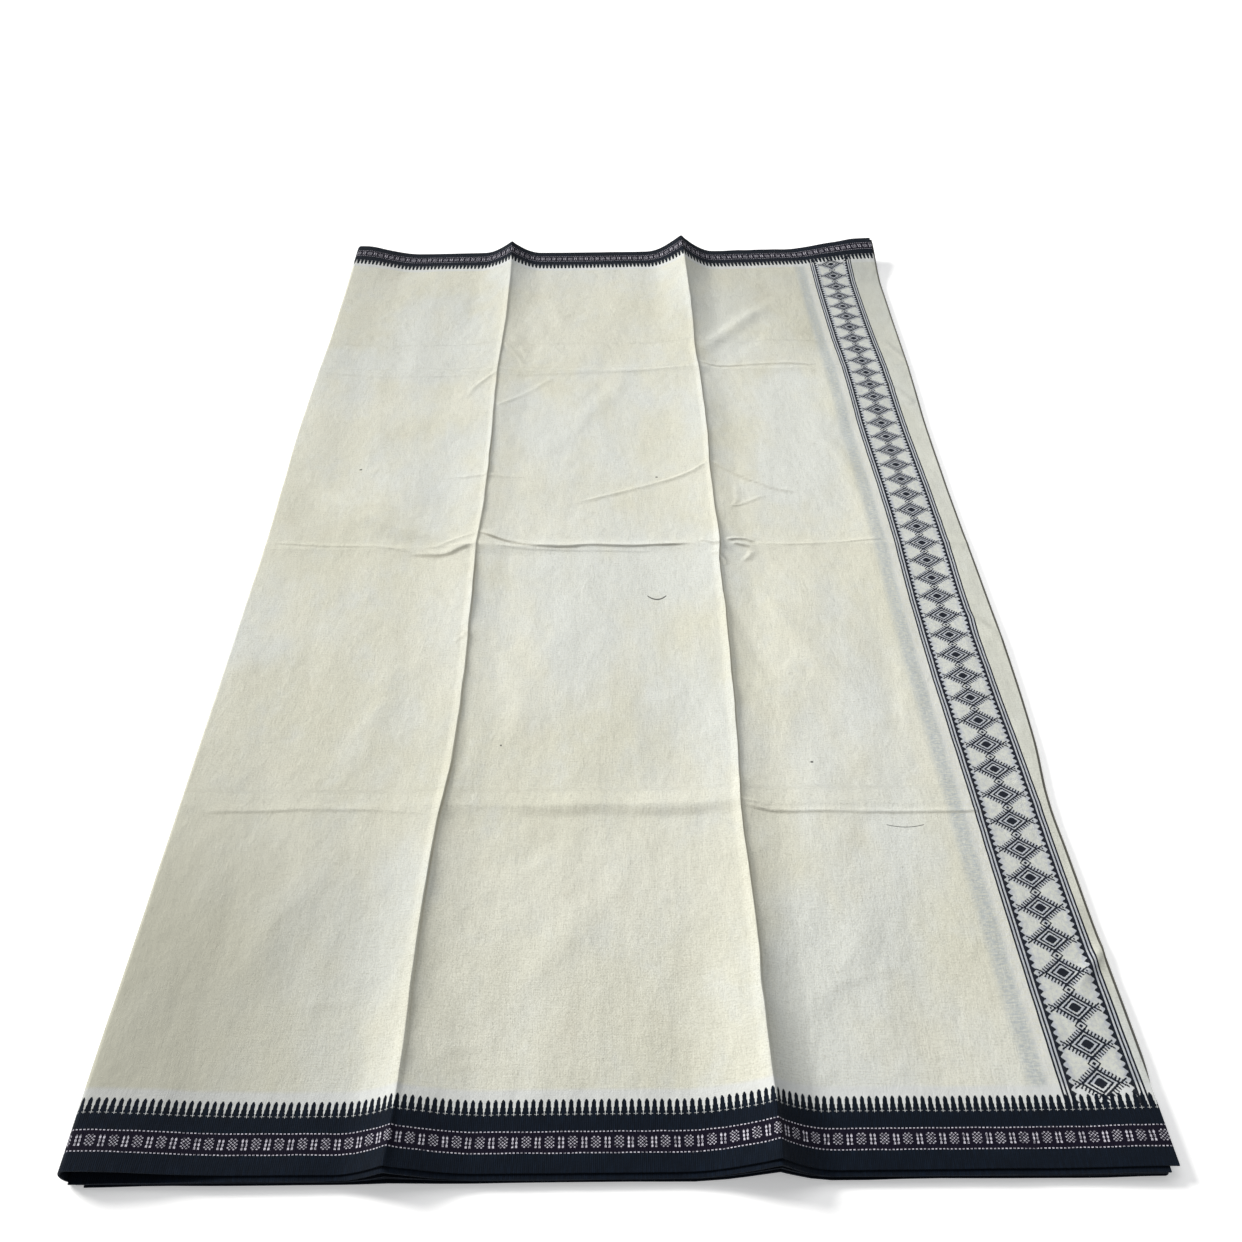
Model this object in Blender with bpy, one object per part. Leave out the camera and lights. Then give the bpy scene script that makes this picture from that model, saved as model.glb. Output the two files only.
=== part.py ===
"""A dhoti lying folded and flat: one long cotton cloth, several layers thick.

The top stretch of cloth shows whole. It comes round a soft fold at the left and ends in a woven
band at the right. The stretch beneath it slides out a little at the near hem, and the layers that
are hidden lie under both as one solid with layered edges. The cloth was pressed into a packet and
opened again, so two ridges run from hem to hem and three low creases cross them.

Metres. +X runs to the cloth's woven end, +Y away from the viewer, +Z up from the table.
"""

import math
from collections import namedtuple

import bmesh
import bpy
import numpy as np

# Driving sizes

LOOM_WIDTH = 1.27          # selvedge to selvedge, along Y
WALL = 0.0011              # one stretch of cloth with its loft
GAP = 0.0003               # between stretches, and between woven zones
HIDDEN = 0.0052            # the hidden layers where they lie flat
SLIP = 0.0035              # how far the stretch beneath shows at the near hem
SIDE = 0.359               # middle of the laid cloth to its left and right sides, along X
BORDER = 0.056             # woven border along each selvedge
STACK = HIDDEN + 2 * (WALL + GAP)

# Left fold

FOLD_BULGE = 0.62          # half width of the fold's round, as a share of its height
FOLD_ANGLES = (270, 228, 180, 132)
FOLD_LIP = 0.004           # how far the fold runs back under the stack
CORE_SET_BACK = 0.003      # hidden layers behind the start of the fold

# Seen from above: the left fold, the woven end band's two edges and the cut end, at each share
# of the depth

Outline = namedtuple("Outline", "depth fold band_left band_right end")
OUTLINES = (
    Outline(0.00, -0.3585, 0.2927, 0.3493, 0.3570),
    Outline(0.10, -0.3590, 0.2922, 0.3468, 0.3545),
    Outline(0.19, -0.3592, 0.2896, 0.3452, 0.3512),
    Outline(0.23, -0.3593, 0.2885, 0.3445, 0.3502),
    Outline(0.28, -0.3595, 0.2866, 0.3425, 0.3556),
    Outline(0.34, -0.3596, 0.2843, 0.3396, 0.3575),
    Outline(0.42, -0.3598, 0.2829, 0.3376, 0.3566),
    Outline(0.50, -0.3600, 0.2828, 0.3384, 0.3550),
    Outline(0.57, -0.3618, 0.2818, 0.3356, 0.3536),
    Outline(0.66, -0.3642, 0.2788, 0.3316, 0.3535),
    Outline(0.75, -0.3640, 0.2768, 0.3310, 0.3562),
    Outline(0.82, -0.3622, 0.2750, 0.3255, 0.3560),
    Outline(1.00, -0.3625, 0.2690, 0.3225, 0.3570),
)
BENEATH_OUT = 0.0015       # the stretch beneath shows this much past the cut end
BENEATH_IN = 0.0075        # and lies this much inside it at the near corner
BENEATH_TAPER = 0.08       # share of the depth over which it does so

# Pressed ridges: crest, height, and how far each foot lies from the crest

Ridge = namedtuple("Ridge", "depth crest height left_foot right_foot")
LEFT_RIDGE = (
    Ridge(0.000, -0.1500, 0.0140, 0.032, 0.054),
    Ridge(0.045, -0.1484, 0.0122, 0.034, 0.048),
    Ridge(0.120, -0.1497, 0.0092, 0.042, 0.040),
    Ridge(0.180, -0.1482, 0.0076, 0.048, 0.034),
    Ridge(0.227, -0.1453, 0.0072, 0.052, 0.030),
    Ridge(0.265, -0.1412, 0.0068, 0.054, 0.030),
    Ridge(0.350, -0.1400, 0.0066, 0.056, 0.030),
    Ridge(0.420, -0.1415, 0.0066, 0.056, 0.030),
    Ridge(0.486, -0.1430, 0.0068, 0.054, 0.032),
    Ridge(0.550, -0.1410, 0.0064, 0.056, 0.032),
    Ridge(0.620, -0.1418, 0.0062, 0.056, 0.032),
    Ridge(0.735, -0.1442, 0.0064, 0.053, 0.034),
    Ridge(0.820, -0.1425, 0.0074, 0.050, 0.038),
    Ridge(0.920, -0.1417, 0.0100, 0.044, 0.040),
    Ridge(1.000, -0.1440, 0.0150, 0.036, 0.036),
)
RIGHT_RIDGE = (
    Ridge(0.000, 0.1020, 0.0190, 0.060, 0.034),
    Ridge(0.045, 0.1010, 0.0160, 0.058, 0.034),
    Ridge(0.090, 0.0996, 0.0125, 0.058, 0.034),
    Ridge(0.133, 0.1004, 0.0102, 0.058, 0.032),
    Ridge(0.180, 0.0993, 0.0086, 0.057, 0.030),
    Ridge(0.222, 0.0982, 0.0078, 0.056, 0.030),
    Ridge(0.270, 0.1003, 0.0075, 0.056, 0.030),
    Ridge(0.350, 0.1013, 0.0072, 0.056, 0.030),
    Ridge(0.412, 0.1021, 0.0072, 0.056, 0.030),
    Ridge(0.465, 0.1008, 0.0072, 0.056, 0.030),
    Ridge(0.490, 0.1029, 0.0073, 0.056, 0.030),
    Ridge(0.550, 0.1020, 0.0075, 0.057, 0.032),
    Ridge(0.600, 0.1008, 0.0077, 0.057, 0.032),
    Ridge(0.640, 0.1021, 0.0077, 0.057, 0.032),
    Ridge(0.700, 0.1012, 0.0076, 0.056, 0.034),
    Ridge(0.740, 0.1006, 0.0077, 0.056, 0.034),
    Ridge(0.775, 0.0980, 0.0084, 0.054, 0.034),
    Ridge(0.840, 0.0983, 0.0108, 0.050, 0.036),
    Ridge(0.930, 0.0957, 0.0156, 0.048, 0.038),
    Ridge(1.000, 0.0925, 0.0220, 0.046, 0.040),
)
CREST_ROUND = 0.0022       # radius that keeps a crest from being knife sharp
RIDGE_POWER = 1.7          # above 1 the flanks are hollow, as in pressed cloth

# Creases from left to right, and the stretch of X where each stands highest

Crease = namedtuple("Crease", "depth height half_width centre reach")
CREASES = (
    Crease(0.2285, 0.0028, 0.017, 0.000, 0.24),
    Crease(0.4885, 0.0034, 0.014, -0.060, 0.20),
    Crease(0.7530, 0.0018, 0.014, 0.060, 0.30),
)

# Soft places where the stack doesn't lie flat

Swell = namedtuple("Swell", "x depth half_x half_depth height")
SWELLS = (
    Swell(-0.240, 0.545, 0.075, 0.060, 0.0042),
    Swell(-0.030, 0.345, 0.090, 0.120, 0.0026),
    Swell(0.020, 0.860, 0.080, 0.100, 0.0030),
    Swell(0.200, 0.815, 0.070, 0.080, 0.0028),
    Swell(0.190, 0.380, 0.070, 0.110, 0.0022),
    Swell(-0.260, 0.180, 0.080, 0.100, 0.0024),
)
CORNER_LIFT = 0.017        # the far right corner curls up
CORNER_WIDE = 0.125
CORNER_DEEP = 0.085
ARCH_DEEP = 0.085          # share of the depth over which a ridge is hollow under a hem
ARCH_EASE = 0.0006
ARCH_FROM = -0.06          # the lowest layers lie flat under the left ridge, up to this X
ARCH_FADE = 0.08
ARCH_NEAR = 0.65           # share of a ridge's height that its arch has at the near hem

# Loft of the top stretch alone, at the left fold

Loft = namedtuple("Loft", "depth height reach")
LOFTS = (
    Loft(0.00, 0.0110, 0.115),
    Loft(0.06, 0.0092, 0.112),
    Loft(0.16, 0.0062, 0.105),
    Loft(0.28, 0.0036, 0.090),
    Loft(0.42, 0.0020, 0.070),
    Loft(0.70, 0.0022, 0.060),
    Loft(0.88, 0.0050, 0.070),
    Loft(1.00, 0.0125, 0.085),
)

# Edges of the hidden layers: how far each layer's round stands back on each side

Lip = namedtuple("Lip", "near right far left")
LIPS = (
    Lip(0.0000, 0.0012, 0.0010, 0.0056),
    Lip(0.0012, 0.0004, 0.0002, 0.0020),
    Lip(0.0004, 0.0016, 0.0014, 0.0008),
    Lip(0.0014, 0.0006, 0.0004, 0.0010),
)
LIP_GROOVE = 0.0013        # depth of the groove between two layers
LIP_CORNER = 0.0025        # rounding of each layer's corners

# Where the surfaces are worked out

RIDGE_STEPS = (-0.034, -0.018, -0.007, 0.0, 0.006, 0.015, 0.030)
CREASE_STEP = 0.010
HEM_ROWS = (0.0, 0.014, 0.034)
OPEN_ROWS = (0.090, 0.150, 0.220, 0.360, 0.450, 0.540, 0.690, 0.775, 0.860, 1.010, 1.090, 1.165)

# Colours, linear

CREAM = (0.700, 0.700, 0.600)
NAVY = (0.012, 0.016, 0.026)
BAND_GREY = (0.250, 0.270, 0.300)
UNDER_CREAM = (0.560, 0.550, 0.460)


def smooth(t):
    """Ease from 0 to 1 with level ends."""
    t = min(max(t, 0.0), 1.0)
    return t * t * (3.0 - 2.0 * t)


def along(table, depth):
    """Read a table of rows at a share of the depth, on a curve through its rows."""
    last = len(table) - 2
    k = 0
    while k < last and table[k + 1].depth < depth:
        k += 1
    a, b = np.array(table[k]), np.array(table[k + 1])
    before = np.array(table[max(k - 1, 0)])
    after = np.array(table[min(k + 2, last + 1)])
    span = b[0] - a[0]
    slope_a = (b - before) / (b[0] - before[0])
    slope_b = (after - a) / (after[0] - a[0])
    t = (min(max(depth, 0.0), 1.0) - a[0]) / span
    row = ((2 * t**3 - 3 * t**2 + 1) * a + (t**3 - 2 * t**2 + t) * span * slope_a
           + (3 * t**2 - 2 * t**3) * b + (t**3 - t**2) * span * slope_b)
    return type(table[0])(*row)


def ridge_height(table, x, depth):
    """Height of one pressed ridge over the flat stack."""
    row = along(table, depth)
    off = x - row.crest
    foot = row.left_foot if off < 0 else row.right_foot
    away = math.hypot(off, CREST_ROUND) - CREST_ROUND
    return row.height * max(1.0 - away / foot, 0.0) ** RIDGE_POWER


def crease_height(x, depth):
    """Height of the low creases that cross the ridges."""
    total = 0.0
    for crease in CREASES:
        away = abs(depth - crease.depth) * LOOM_WIDTH / crease.half_width
        fade = 1.0 - smooth(abs(x - crease.centre) / crease.reach)
        total += crease.height * max(1.0 - away, 0.0) ** RIDGE_POWER * (0.35 + 0.65 * fade)
    return total


def swell_height(x, depth):
    """Height of the soft places between the ridges."""
    total = 0.0
    for swell in SWELLS:
        away = math.hypot((x - swell.x) / swell.half_x, (depth - swell.depth) / swell.half_depth)
        total += swell.height * (1.0 - smooth(away))
    return total


def stack_lift(x, depth):
    """How far every layer lies above its flat height."""
    corner = (smooth((x - SIDE + CORNER_WIDE) / CORNER_WIDE)
              * smooth((depth - 1.0 + CORNER_DEEP) / CORNER_DEEP))
    return (max(ridge_height(LEFT_RIDGE, x, depth), ridge_height(RIGHT_RIDGE, x, depth))
            + crease_height(x, depth) + swell_height(x, depth) + CORNER_LIFT * corner)


def hollow_lift(x, depth):
    """How far the underside rises: nothing but under the right ridge or corner at a hem."""
    hem = min(depth, 1.0 - depth)
    share = smooth((x - ARCH_FROM) / ARCH_FADE) * (ARCH_NEAR if depth < 0.5 else 1.0)
    raised = stack_lift(x, depth) * share * (1.0 - smooth(hem / ARCH_DEEP)) - ARCH_EASE
    return max(raised, 0.0)


def loft_height(x, depth):
    """How far the top stretch alone stands off the others near the left fold."""
    row = along(LOFTS, depth)
    return row.height * (1.0 - smooth((x + SIDE) / row.reach))


def fold_start(depth):
    """X where the flat part meets the left fold's round, and that round's height."""
    height = STACK + loft_height(-SIDE, depth)
    return along(OUTLINES, depth).fold + FOLD_BULGE * height / 2, height


def depths():
    """Shares of the depth of all rows, near to far, and the rows where the borders end."""
    creases = []
    for crease in CREASES:
        middle = crease.depth * LOOM_WIDTH
        creases += [middle - CREASE_STEP, middle, middle + CREASE_STEP]
    middle_rows = sorted(creases + list(OPEN_ROWS))
    far_rows = [LOOM_WIDTH - row for row in reversed(HEM_ROWS)]
    rows = list(HEM_ROWS) + [BORDER] + middle_rows + [LOOM_WIDTH - BORDER] + far_rows
    near_end = len(HEM_ROWS)
    far_start = len(rows) - 1 - len(HEM_ROWS)
    return [row / LOOM_WIDTH for row in rows], near_end, far_start


def spaced(start, stop, count):
    """Evenly spaced places between two others, without them."""
    return [start + (stop - start) * k / (count + 1) for k in range(1, count + 1)]


def columns(depth):
    """X of the columns from the left fold to the cut end, and where the band starts and ends."""
    start = fold_start(depth)[0]
    left = along(LEFT_RIDGE, depth).crest
    right = along(RIGHT_RIDGE, depth).crest
    line = along(OUTLINES, depth)
    left_ridge = [left + step for step in RIDGE_STEPS]
    right_ridge = [right + step for step in RIDGE_STEPS]
    places = [start] + spaced(start, left_ridge[0], 3) + left_ridge
    places += spaced(left_ridge[-1], right_ridge[0], 2) + right_ridge
    places += spaced(right_ridge[-1], line.band_left, 2)
    band_start = len(places)
    places += [line.band_left] + spaced(line.band_left, line.band_right, 1)
    band_end = len(places)
    return places + [line.band_right, line.end], band_start, band_end


def row_y(depth, shift):
    """Y of a row, for a stretch moved along Y by a shift."""
    return (depth - 0.5) * LOOM_WIDTH + shift


def normals(points):
    """Outward direction at each point of a grid whose rows run to +Y."""
    across = np.gradient(points, axis=1)
    away = np.gradient(points, axis=0)
    facing = np.cross(across, away)
    return facing / np.linalg.norm(facing, axis=2, keepdims=True)


def top_points(rows):
    """Outer points of the top stretch, from under the left fold round to the cut end."""
    grid = []
    for depth in rows:
        y = row_y(depth, SLIP / 2)
        start, height = fold_start(depth)
        line = [(start + FOLD_LIP, y, 0.0)]
        for angle in FOLD_ANGLES:
            turn = math.radians(angle)
            across = start + FOLD_BULGE * height / 2 * math.cos(turn)
            line.append((across, y, height / 2 * (1 + math.sin(turn))))
        for x in columns(depth)[0]:
            line.append((x, y, STACK + stack_lift(x, depth) + loft_height(x, depth)))
        grid.append(line)
    return np.array(grid)


def beneath_points(rows):
    """The stack's surface without the top stretch's loft, for what lies under it."""
    grid = []
    for depth in rows:
        places = columns(depth)[0]
        inside = BENEATH_IN * (1.0 - smooth(depth / BENEATH_TAPER))
        places[-1] += BENEATH_OUT * smooth(depth / BENEATH_TAPER) - inside
        y = row_y(depth, SLIP / 2)
        grid.append([(x, y, STACK + stack_lift(x, depth)) for x in places])
    points = np.array(grid)
    points[0, :, 1] -= SLIP
    points[-1, :, 1] -= SLIP
    return points


def add_object(name, points, faces, material, collection):
    """Make one closed mesh object, shaded smooth but for its sharp edges."""
    mesh = bpy.data.meshes.new(name)
    mesh.from_pydata([tuple(point) for point in points], [], faces)
    shape = bmesh.new()
    shape.from_mesh(mesh)
    bmesh.ops.recalc_face_normals(shape, faces=shape.faces)
    shape.to_mesh(mesh)
    shape.free()
    mesh.shade_smooth()
    mesh.set_sharp_from_angle(angle=math.radians(50))
    mesh.materials.append(material)
    thing = bpy.data.objects.new(name, mesh)
    collection.objects.link(thing)
    return thing


def sheet_faces(rows, cols, first, flip):
    """Two triangles for each cell of a grid of points."""
    faces = []
    for i in range(rows - 1):
        for j in range(cols - 1):
            a = first + i * cols + j
            b, c, d = a + 1, a + cols + 1, a + cols
            pair = [(a, b, c), (a, c, d)]
            faces += [face[::-1] for face in pair] if flip else pair
    return faces


def rim_path(rows, cols):
    """Grid places round the edge, once round from the near left corner."""
    near = [(0, j) for j in range(cols - 1)]
    right = [(i, cols - 1) for i in range(rows - 1)]
    far = [(rows - 1, j) for j in range(cols - 1, 0, -1)]
    left = [(i, 0) for i in range(rows - 1, 0, -1)]
    return near + right + far + left


def band_faces(lower, upper):
    """Triangles between two closed loops of point numbers."""
    faces = []
    for k, low in enumerate(lower):
        nxt = (k + 1) % len(lower)
        faces += [(low, lower[nxt], upper[nxt]), (low, upper[nxt], upper[k])]
    return faces


def wall(name, outer, inner, material, collection):
    """A stretch of cloth between its outer and inner points."""
    rows, cols = outer.shape[:2]
    count = rows * cols
    points = np.vstack([outer.reshape(-1, 3), inner.reshape(-1, 3)])
    faces = sheet_faces(rows, cols, 0, False) + sheet_faces(rows, cols, count, True)
    path = [i * cols + j for i, j in rim_path(rows, cols)]
    faces += band_faces([count + k for k in path], path)
    return add_object(name, points, faces, material, collection)


def parted(points, side_rows, side_cols):
    """Draw the edges of a woven zone in by half a gap on the sides that meet another zone."""
    moved = points.copy()
    near, far = side_rows
    left, right = side_cols
    moved[0, :, 1] += GAP / 2 * near
    moved[-1, :, 1] -= GAP / 2 * far
    moved[:, 0, 0] += GAP / 2 * left
    moved[:, -1, 0] -= GAP / 2 * right
    return moved


def top_stretch(rows, near_end, far_start, materials, collection):
    """The stretch that shows, in its five woven zones."""
    outer = top_points(rows)
    inner = outer - normals(outer) * WALL
    turned = len(FOLD_ANGLES) + 1
    band_start, band_end = [turned + k for k in columns(0.5)[1:]]
    middle = slice(near_end, far_start + 1)
    everything = slice(None)
    zones = (
        ("border_near", slice(0, near_end + 1), everything, (0, 1), (0, 0), "border"),
        ("border_far", slice(far_start, None), everything, (1, 0), (0, 0), "border"),
        ("field", middle, slice(0, band_start + 1), (1, 1), (0, 1), "cream"),
        ("end_band", middle, slice(band_start, band_end + 1), (1, 1), (1, 1), "band"),
        ("end_margin", middle, slice(band_end, None), (1, 1), (1, 0), "cream"),
    )
    for name, across, along_x, side_rows, side_cols, slot in zones:
        skin = parted(outer[across, along_x], side_rows, side_cols)
        lining = parted(inner[across, along_x], side_rows, side_cols)
        wall(name, skin, lining, materials[slot], collection)


def second_stretch(rows, materials, collection):
    """The stretch under the top one, which shows along the near hem and the cut end."""
    surface = beneath_points(rows)
    facing = normals(surface)
    outer = surface - facing * (WALL + GAP)
    inner = surface - facing * (2 * WALL + GAP)
    wall("stretch_beneath", outer, inner, materials["beneath"], collection)


def towards(points, others, distance, axis):
    """Points moved towards others until they have gone a distance along one axis."""
    apart = np.abs(others[..., axis] - points[..., axis])
    return points + (others - points) * (distance / apart)[..., np.newaxis]


def drawn_in(points, near, right, far, left):
    """Move the edge of a grid inwards along its own surface, with rounded corners."""
    moved = points.copy()
    moved[0] = towards(moved[0], points[1], near, 1)
    moved[-1] = towards(moved[-1], points[-2], far, 1)
    moved[:, 0] = towards(moved[:, 0], moved[:, 1], left, 0)
    moved[:, -1] = towards(moved[:, -1], moved[:, -2], right, 0)
    for i, next_i in ((0, 1), (-1, -2)):
        for j, next_j in ((0, 1), (-1, -2)):
            moved[i, j] = towards(moved[i, j], moved[next_i, next_j], LIP_CORNER, 0)
    return moved


def hidden_layers(rows, materials, collection):
    """The layers out of sight, as one solid whose edges are rounded and layered."""
    surface = beneath_points(rows)
    surface[:, 0, 0] += CORE_SET_BACK
    top = surface - normals(beneath_points(rows)) * 2 * (WALL + GAP)
    base = top.copy()
    for i, depth in enumerate(rows):
        for j in range(top.shape[1]):
            base[i, j] = (surface[i, j, 0], surface[i, j, 1], hollow_lift(surface[i, j, 0], depth))
    count_rows, count_cols = top.shape[:2]
    path = rim_path(count_rows, count_cols)

    def level(share, sides):
        """The grid at a share of the height, drawn in by the amounts for the four sides."""
        return drawn_in(base + (top - base) * share, *sides)

    stages = [(0.0, np.array(LIPS[0]) + LIP_GROOVE / 2)]
    for k, lip in enumerate(LIPS):
        stages.append(((k + 0.5) / len(LIPS), np.array(lip)))
        above = np.array(LIPS[min(k + 1, len(LIPS) - 1)])
        deep = LIP_GROOVE if k < len(LIPS) - 1 else LIP_GROOVE / 2
        stages.append(((k + 1) / len(LIPS), np.maximum(np.array(lip), above) + deep))
    bottom_grid = level(*stages[0])
    top_grid = level(*stages[-1])
    size = count_rows * count_cols
    points = [bottom_grid.reshape(-1, 3), top_grid.reshape(-1, 3)]
    faces = sheet_faces(count_rows, count_cols, 0, True)
    faces += sheet_faces(count_rows, count_cols, size, False)
    loops = [[i * count_cols + j for i, j in path]]
    first = 2 * size
    for share, sides in stages[1:-1]:
        grid = level(share, sides)
        points.append(np.array([grid[i, j] for i, j in path]))
        loops.append(list(range(first, first + len(path))))
        first += len(path)
    loops.append([size + i * count_cols + j for i, j in path])
    for lower, upper in zip(loops, loops[1:]):
        faces += band_faces(lower, upper)
    return add_object("hidden_layers", np.vstack(points), faces, materials["hidden"], collection)


def make_material(name, colour, roughness):
    """A plain cloth material with the part's own colour."""
    material = bpy.data.materials.new(name)
    material.use_nodes = True
    shader = material.node_tree.nodes["Principled BSDF"]
    shader.inputs["Base Color"].default_value = (*colour, 1.0)
    shader.inputs["Roughness"].default_value = roughness
    shader.inputs["Metallic"].default_value = 0.0
    material.diffuse_color = (*colour, 1.0)
    return material


def centre(collection):
    """Stand the part on Z = 0 with the middle of its box over the origin."""
    corners = np.array([vert.co for thing in collection.objects for vert in thing.data.vertices])
    low, high = corners.min(axis=0), corners.max(axis=0)
    middle = ((low[0] + high[0]) / 2, (low[1] + high[1]) / 2, low[2])
    for thing in collection.objects:
        for vert in thing.data.vertices:
            vert.co = [vert.co[k] - middle[k] for k in range(3)]


def main():
    """Clear the scene and build the folded cloth."""
    for thing in list(bpy.data.objects):
        bpy.data.objects.remove(thing, do_unlink=True)
    collection = bpy.data.collections.new("folded_dhoti")
    bpy.context.scene.collection.children.link(collection)
    materials = {
        "border": make_material("navy_border", NAVY, 0.80),
        "cream": make_material("cream_cotton", CREAM, 0.85),
        "band": make_material("figured_band", BAND_GREY, 0.85),
        "beneath": make_material("cream_beneath", UNDER_CREAM, 0.88),
        "hidden": make_material("cream_layers", UNDER_CREAM, 0.90),
    }
    rows, near_end, far_start = depths()
    top_stretch(rows, near_end, far_start, materials, collection)
    second_stretch(rows, materials, collection)
    hidden_layers(rows, materials, collection)
    centre(collection)


main()
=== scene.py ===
"""Looks of a dhoti that lies folded and flat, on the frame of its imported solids.

The cloth is built again as thin shells on the solids' own form, with the finer creases, and every
woven pattern is worked out in its materials from the distance to the selvedge and to the end band.
"""
import math

import bpy
import numpy as np
from mathutils import Matrix, Vector


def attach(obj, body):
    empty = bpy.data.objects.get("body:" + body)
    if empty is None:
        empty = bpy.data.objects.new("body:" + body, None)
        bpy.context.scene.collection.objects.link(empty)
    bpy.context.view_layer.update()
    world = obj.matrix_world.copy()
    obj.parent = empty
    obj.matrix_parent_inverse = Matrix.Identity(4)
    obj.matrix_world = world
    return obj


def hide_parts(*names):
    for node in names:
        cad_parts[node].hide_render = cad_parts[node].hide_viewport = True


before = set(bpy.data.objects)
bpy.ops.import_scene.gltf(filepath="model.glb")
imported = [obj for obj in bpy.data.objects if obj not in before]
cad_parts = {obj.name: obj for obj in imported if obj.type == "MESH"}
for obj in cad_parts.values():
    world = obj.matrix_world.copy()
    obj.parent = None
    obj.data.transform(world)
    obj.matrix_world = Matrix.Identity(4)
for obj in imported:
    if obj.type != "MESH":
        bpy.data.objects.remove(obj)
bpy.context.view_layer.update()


def measured(*rows):
    """Rows of a share of the depth and sizes in millimetres, with the sizes turned to metres."""
    rows = np.array(rows)
    rows[:, 1:] /= 1000.0
    return rows


# Sizes shared with the solids, in metres and in shares of the depth from the near hem

LOOM_WIDTH = 1.27
WALL = 0.0011
GAP = 0.0003
HIDDEN = 0.0052
SLIP = 0.0035
SIDE = 0.359
BORDER = 0.056
STACK = HIDDEN + 2 * (WALL + GAP)
FOLD_BULGE = 0.62
FOLD_LIP = 0.004
CORE_SET_BACK = 0.003
CREST_ROUND = 0.0022
RIDGE_POWER = 1.7
CORNER_LIFT, CORNER_WIDE, CORNER_DEEP = 0.017, 0.125, 0.085
ARCH_DEEP, ARCH_EASE = 0.085, 0.0006
ARCH_FROM, ARCH_FADE, ARCH_NEAR = -0.06, 0.08, 0.65
CENTRED = -0.00267         # the solids were moved by this to stand over the origin

# Sizes that this script alone has

HEM_OUT, HEM_OUT_TAPER = 0.0036, 0.16   # the near hem bellies out this far, over this share
FOLD_TURNS = (270, 104, 13)   # the left fold's round, from its foot up, in degrees
BENEATH_OUT = 0.0025       # the stretch beneath shows this much past the cut end
BENEATH_IN = 0.0060        # and lies this much inside it at the near corner
BENEATH_TAPER = 0.06       # share of the depth over which it does so
BENEATH_EASE = 0.045       # width over which the columns make room for that
SHADE_WIDE = 0.0015        # the painted shadow along the cut end, on the stretch beneath, starts this far inside it
LAYER_WAVE = 0.0004        # the hidden layers' edges wander by this much
SLIP_OVER = 0.03           # share of the depth over which it slips at either hem
MAP_MIDDLE = -0.02         # x that the distance along the loom is counted from
CREVICE_STEP = 0.0018      # a crevice is looked for this far round a point
CREVICE_BEND, CREVICE_SLOPE = 0.0026, 0.45   # and its painted shade is full from these on

# depth, left fold, end band's two edges, cut end; the first rows differ a little from the solids'
OUTLINES = measured(
    (0.00, -358.5, 296.5, 353.5, 357),
    (0.05, -358.8, 295, 350.8, 355.6),
    (0.10, -359, 293, 348.4, 354),
    (0.19, -359.2, 289.6, 345.2, 351.2),
    (0.23, -359.3, 288.5, 344.5, 350.2),
    (0.28, -359.5, 286.6, 342.5, 355.6),
    (0.34, -359.6, 284.3, 339.6, 357.5),
    (0.42, -359.8, 282.9, 337.6, 356.6),
    (0.50, -360, 282.8, 338.4, 355),
    (0.57, -361.8, 281.8, 335.6, 353.6),
    (0.66, -364.2, 278.8, 331.6, 353.5),
    (0.75, -364, 276.8, 331, 356.2),
    (0.82, -362.2, 275, 325.5, 356),
    (1.00, -362.5, 269, 322.5, 357))

# depth, crest, height, left foot, right foot
LEFT_RIDGE = measured(
    (0.000, -150, 13.5, 32, 54),
    (0.045, -148.4, 11.5, 34, 48),
    (0.120, -149.7, 7.8, 42, 40),
    (0.180, -148.2, 5.8, 48, 36),
    (0.227, -145.3, 5, 54, 34),
    (0.265, -141.2, 4.6, 56, 34),
    (0.350, -140, 4.4, 58, 34),
    (0.420, -141.5, 4.5, 58, 34),
    (0.486, -143, 4.7, 56, 36),
    (0.550, -141, 4.4, 58, 36),
    (0.620, -141.8, 4.3, 58, 36),
    (0.735, -144.2, 4.6, 54, 38),
    (0.820, -142.5, 6, 50, 40),
    (0.920, -141.7, 9.2, 44, 40),
    (1.000, -144, 15, 36, 36))
RIGHT_RIDGE = measured(
    (0.000, 102, 19, 60, 34),
    (0.045, 101, 15.5, 58, 34),
    (0.090, 99.6, 11.5, 58, 34),
    (0.133, 100.4, 8.5, 58, 34),
    (0.180, 99.3, 6.5, 58, 34),
    (0.222, 98.2, 5.6, 58, 34),
    (0.270, 100.3, 5.2, 58, 34),
    (0.350, 101.3, 5, 58, 34),
    (0.412, 102.1, 5, 58, 34),
    (0.465, 100.8, 5.1, 58, 34),
    (0.490, 102.9, 5.2, 58, 34),
    (0.550, 102, 5.5, 58, 36),
    (0.600, 100.8, 5.8, 58, 36),
    (0.640, 102.1, 5.8, 58, 36),
    (0.700, 101.2, 5.7, 56, 36),
    (0.740, 100.6, 5.8, 56, 36),
    (0.775, 98, 6.8, 54, 36),
    (0.840, 98.3, 9.6, 50, 38),
    (0.930, 95.7, 15, 48, 38),
    (1.000, 92.5, 22, 46, 40))

# The pressed line along each ridge, finer than the solids: depth, height, left foot, right foot
PINCHES = measured(
    (0.00, 1.2, 8, 5),
    (0.05, 1.8, 7, 3.6),
    (0.14, 2.3, 6, 2.4),
    (0.24, 2.8, 6, 1.8),
    (0.40, 2.5, 6, 1.7),
    (0.52, 2.1, 5, 1.6),
    (0.70, 1.9, 5, 1.8),
    (0.86, 1.7, 6, 2.6),
    (1.00, 1, 8, 5))
SOFT_FOOT = 0.009          # a foot longer than this is rounded, a shorter one is hollow
LEAN = 0.45                # how far a pressed line leans over, as a share of its height

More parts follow.
